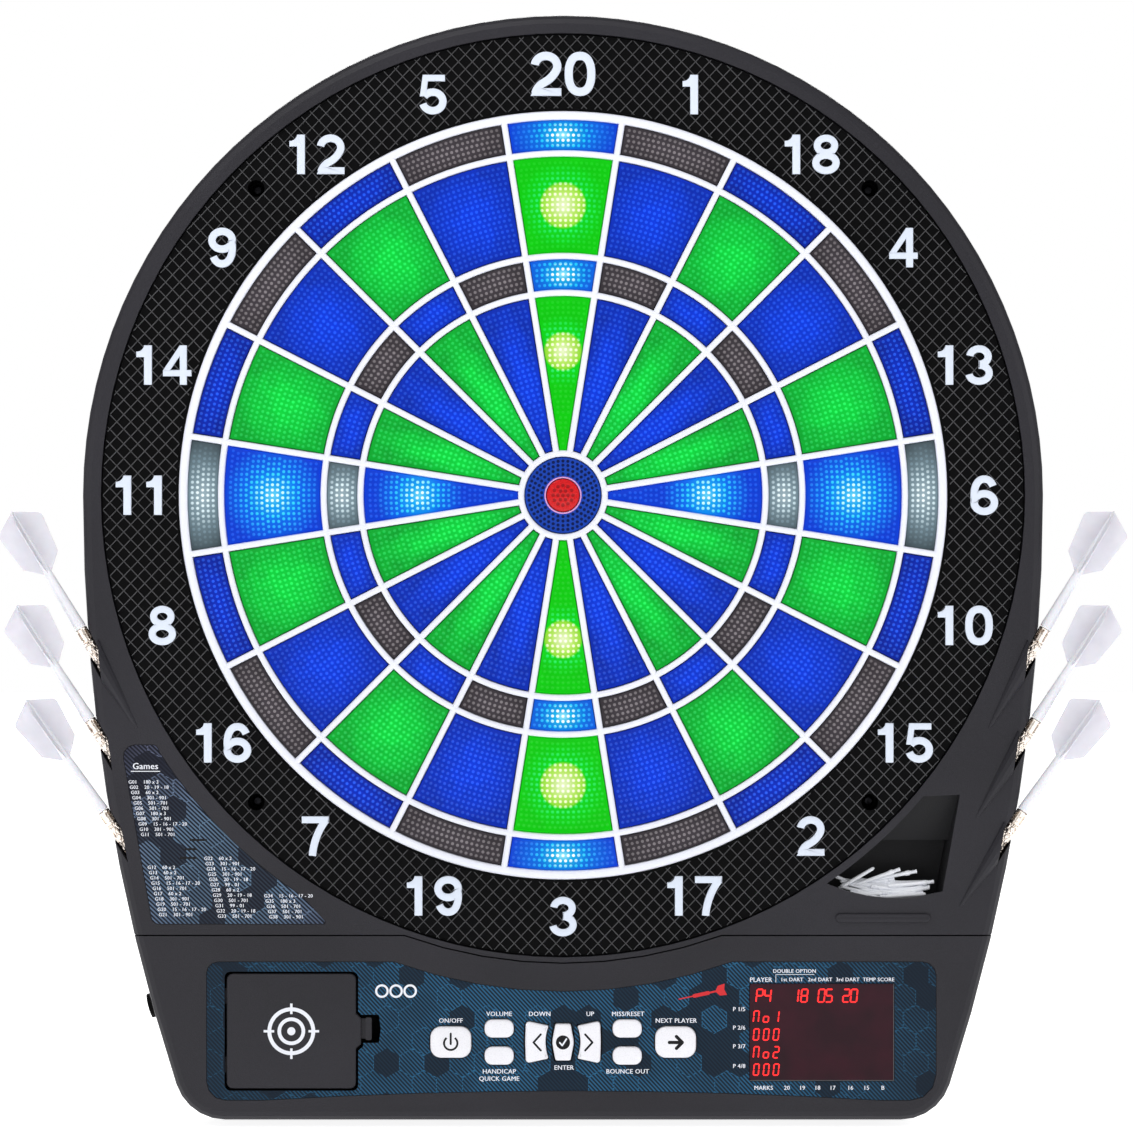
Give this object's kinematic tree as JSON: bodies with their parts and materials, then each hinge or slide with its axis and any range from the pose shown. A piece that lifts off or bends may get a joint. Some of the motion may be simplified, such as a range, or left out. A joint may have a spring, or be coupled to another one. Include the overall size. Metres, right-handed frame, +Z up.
{
  "type": "electronic dartboard",
  "caption": "Wall-hung soft-tip electronic dartboard: round sprung target with lit segments, button console with number display, tip tray and side holders storing darts.",
  "frame": {"origin": "on the bull's axis, in the plane of the wall, which is the back of the rear cover", "axes": "+X to the right as a player sees the board, +Y into the wall, +Z up"},
  "size_m": [0.5918, 0.051, 0.5797],
  "materials": {
    "charcoal_plastic": "fine moulded texture, satin",
    "dark_plastic": "moulded, satin",
    "black_plastic": "satin with a raised crossed pattern",
    "web_plastic": "smooth semi-gloss",
    "blue_double_segment": "translucent, dimpled",
    "blue_segment": "translucent, dimpled",
    "green_segment": "translucent, dimpled",
    "smoke_segment": "translucent, dimpled",
    "outer_bull_plastic": "dimpled",
    "inner_bull_plastic": "dimpled",
    "number_print": "printed, satin",
    "rubber": "moulded",
    "switch_film": "film",
    "circuit_board": "lacquered",
    "printed_film": "printed film with fine slanted stripes",
    "white_print": "printed",
    "display_tint": "tinted, polished",
    "display_digits": "lit",
    "button_plastic": "smooth semi-gloss",
    "cell_wrap": "film",
    "tip_plastic": "soft moulded",
    "nickel_brass": "plated and knurled",
    "flight_plastic": "translucent, smooth",
    "screw_steel": "zinc plated"
  },
  "bodies": {
    "housing": {"front_frame": "charcoal_plastic", "control_console": "charcoal_plastic", "rear_cover": "dark_plastic", "catch_ring": "black_plastic", "spider": "web_plastic", "rubber_sheet": "rubber", "switch_matrix": "switch_film", "led_board": "circuit_board", "main_board": "circuit_board", "display_module": "black_plastic", "display_window": "display_tint", "control_overlay": "printed_film", "games_label": "printed_film", "keypad_mat": "rubber", "battery_box": "dark_plastic", "battery_1": "cell_wrap", "battery_2": "cell_wrap", "battery_3": "cell_wrap", "speaker": "black_plastic", "power_socket": "black_plastic", "tip_tray": "dark_plastic", "spare_tips": "tip_plastic", "ring_screw_1": "screw_steel", "ring_screw_2": "screw_steel", "ring_screw_3": "screw_steel", "ring_screw_4": "screw_steel"},
    "double_ring": {"double_segments": "blue_double_segment"},
    "outer_single_ring": {"outer_single_segments": "green_segment"},
    "triple_ring": {"triple_segments": "blue_segment"},
    "inner_single_ring": {"inner_single_segments": "green_segment"},
    "outer_bull": {"outer_bull": "outer_bull_plastic"},
    "inner_bull": {"inner_bull": "inner_bull_plastic"},
    "on_off_button": {"on_off_button": "button_plastic"},
    "volume_button": {"volume_button": "button_plastic"},
    "handicap_button": {"handicap_button": "button_plastic"},
    "down_button": {"down_button": "button_plastic"},
    "enter_button": {"enter_button": "button_plastic"},
    "up_button": {"up_button": "button_plastic"},
    "miss_reset_button": {"miss_reset_button": "button_plastic"},
    "bounce_out_button": {"bounce_out_button": "button_plastic"},
    "next_player_button": {"next_player_button": "button_plastic"},
    "battery_door": {"battery_door": "charcoal_plastic"},
    "dart_left_1": {"dart_left_1_tip": "tip_plastic", "dart_left_1_barrel": "nickel_brass", "dart_left_1_flight_shaft": "flight_plastic"},
    "dart_left_2": {"dart_left_2_tip": "tip_plastic", "dart_left_2_barrel": "nickel_brass", "dart_left_2_flight_shaft": "flight_plastic"},
    "dart_left_3": {"dart_left_3_tip": "tip_plastic", "dart_left_3_barrel": "nickel_brass", "dart_left_3_flight_shaft": "flight_plastic"},
    "dart_right_1": {"dart_right_1_tip": "tip_plastic", "dart_right_1_barrel": "nickel_brass", "dart_right_1_flight_shaft": "flight_plastic"},
    "dart_right_2": {"dart_right_2_tip": "tip_plastic", "dart_right_2_barrel": "nickel_brass", "dart_right_2_flight_shaft": "flight_plastic"},
    "dart_right_3": {"dart_right_3_tip": "tip_plastic", "dart_right_3_barrel": "nickel_brass", "dart_right_3_flight_shaft": "flight_plastic"}
  },
  "joints": [
    {"name": "double_ring_press", "type": "slide", "parent": "housing", "child": "double_ring", "axis": [0, 1, 0], "range_m": [0, 0.0012], "stiffness_N_per_m": 2000},
    {"name": "outer_single_ring_press", "type": "slide", "parent": "housing", "child": "outer_single_ring", "axis": [0, 1, 0], "range_m": [0, 0.0012], "stiffness_N_per_m": 2000},
    {"name": "triple_ring_press", "type": "slide", "parent": "housing", "child": "triple_ring", "axis": [0, 1, 0], "range_m": [0, 0.0012], "stiffness_N_per_m": 2000},
    {"name": "inner_single_ring_press", "type": "slide", "parent": "housing", "child": "inner_single_ring", "axis": [0, 1, 0], "range_m": [0, 0.0012], "stiffness_N_per_m": 2000},
    {"name": "outer_bull_press", "type": "slide", "parent": "housing", "child": "outer_bull", "axis": [0, 1, 0], "range_m": [0, 0.0012], "stiffness_N_per_m": 800},
    {"name": "inner_bull_press", "type": "slide", "parent": "housing", "child": "inner_bull", "axis": [0, 1, 0], "range_m": [0, 0.0012], "stiffness_N_per_m": 800},
    {"name": "on_off_press", "type": "slide", "parent": "housing", "child": "on_off_button", "axis": [0, 1, 0], "range_m": [0, 0.0012], "stiffness_N_per_m": 200},
    {"name": "volume_press", "type": "slide", "parent": "housing", "child": "volume_button", "axis": [0, 1, 0], "range_m": [0, 0.0012], "stiffness_N_per_m": 200},
    {"name": "handicap_press", "type": "slide", "parent": "housing", "child": "handicap_button", "axis": [0, 1, 0], "range_m": [0, 0.0012], "stiffness_N_per_m": 200},
    {"name": "down_press", "type": "slide", "parent": "housing", "child": "down_button", "axis": [0, 1, 0], "range_m": [0, 0.0012], "stiffness_N_per_m": 200},
    {"name": "enter_press", "type": "slide", "parent": "housing", "child": "enter_button", "axis": [0, 1, 0], "range_m": [0, 0.0012], "stiffness_N_per_m": 200},
    {"name": "up_press", "type": "slide", "parent": "housing", "child": "up_button", "axis": [0, 1, 0], "range_m": [0, 0.0012], "stiffness_N_per_m": 200},
    {"name": "miss_reset_press", "type": "slide", "parent": "housing", "child": "miss_reset_button", "axis": [0, 1, 0], "range_m": [0, 0.0012], "stiffness_N_per_m": 200},
    {"name": "bounce_out_press", "type": "slide", "parent": "housing", "child": "bounce_out_button", "axis": [0, 1, 0], "range_m": [0, 0.0012], "stiffness_N_per_m": 200},
    {"name": "next_player_press", "type": "slide", "parent": "housing", "child": "next_player_button", "axis": [0, 1, 0], "range_m": [0, 0.0012], "stiffness_N_per_m": 200},
    {"name": "battery_door_hinge", "type": "hinge", "parent": "housing", "child": "battery_door", "pos_m": [-0.176, -0.038, -0.2806], "axis": [0, 0, -1], "range_deg": [0, 100]},
    {"name": "dart_left_1_pull", "type": "slide", "parent": "housing", "child": "dart_left_1", "axis": [-0.4988, -0.0698, 0.8639], "range_m": [0, 0.06]},
    {"name": "dart_left_2_pull", "type": "slide", "parent": "housing", "child": "dart_left_2", "axis": [-0.5286, -0.0698, 0.846], "range_m": [0, 0.06]},
    {"name": "dart_left_3_pull", "type": "slide", "parent": "housing", "child": "dart_left_3", "axis": [-0.5578, -0.0698, 0.827], "range_m": [0, 0.06]},
    {"name": "dart_right_1_pull", "type": "slide", "parent": "housing", "child": "dart_right_1", "axis": [0.4988, -0.0698, 0.8639], "range_m": [0, 0.06]},
    {"name": "dart_right_2_pull", "type": "slide", "parent": "housing", "child": "dart_right_2", "axis": [0.5286, -0.0698, 0.846], "range_m": [0, 0.06]},
    {"name": "dart_right_3_pull", "type": "slide", "parent": "housing", "child": "dart_right_3", "axis": [0.5578, -0.0698, 0.827], "range_m": [0, 0.06]}
  ]
}
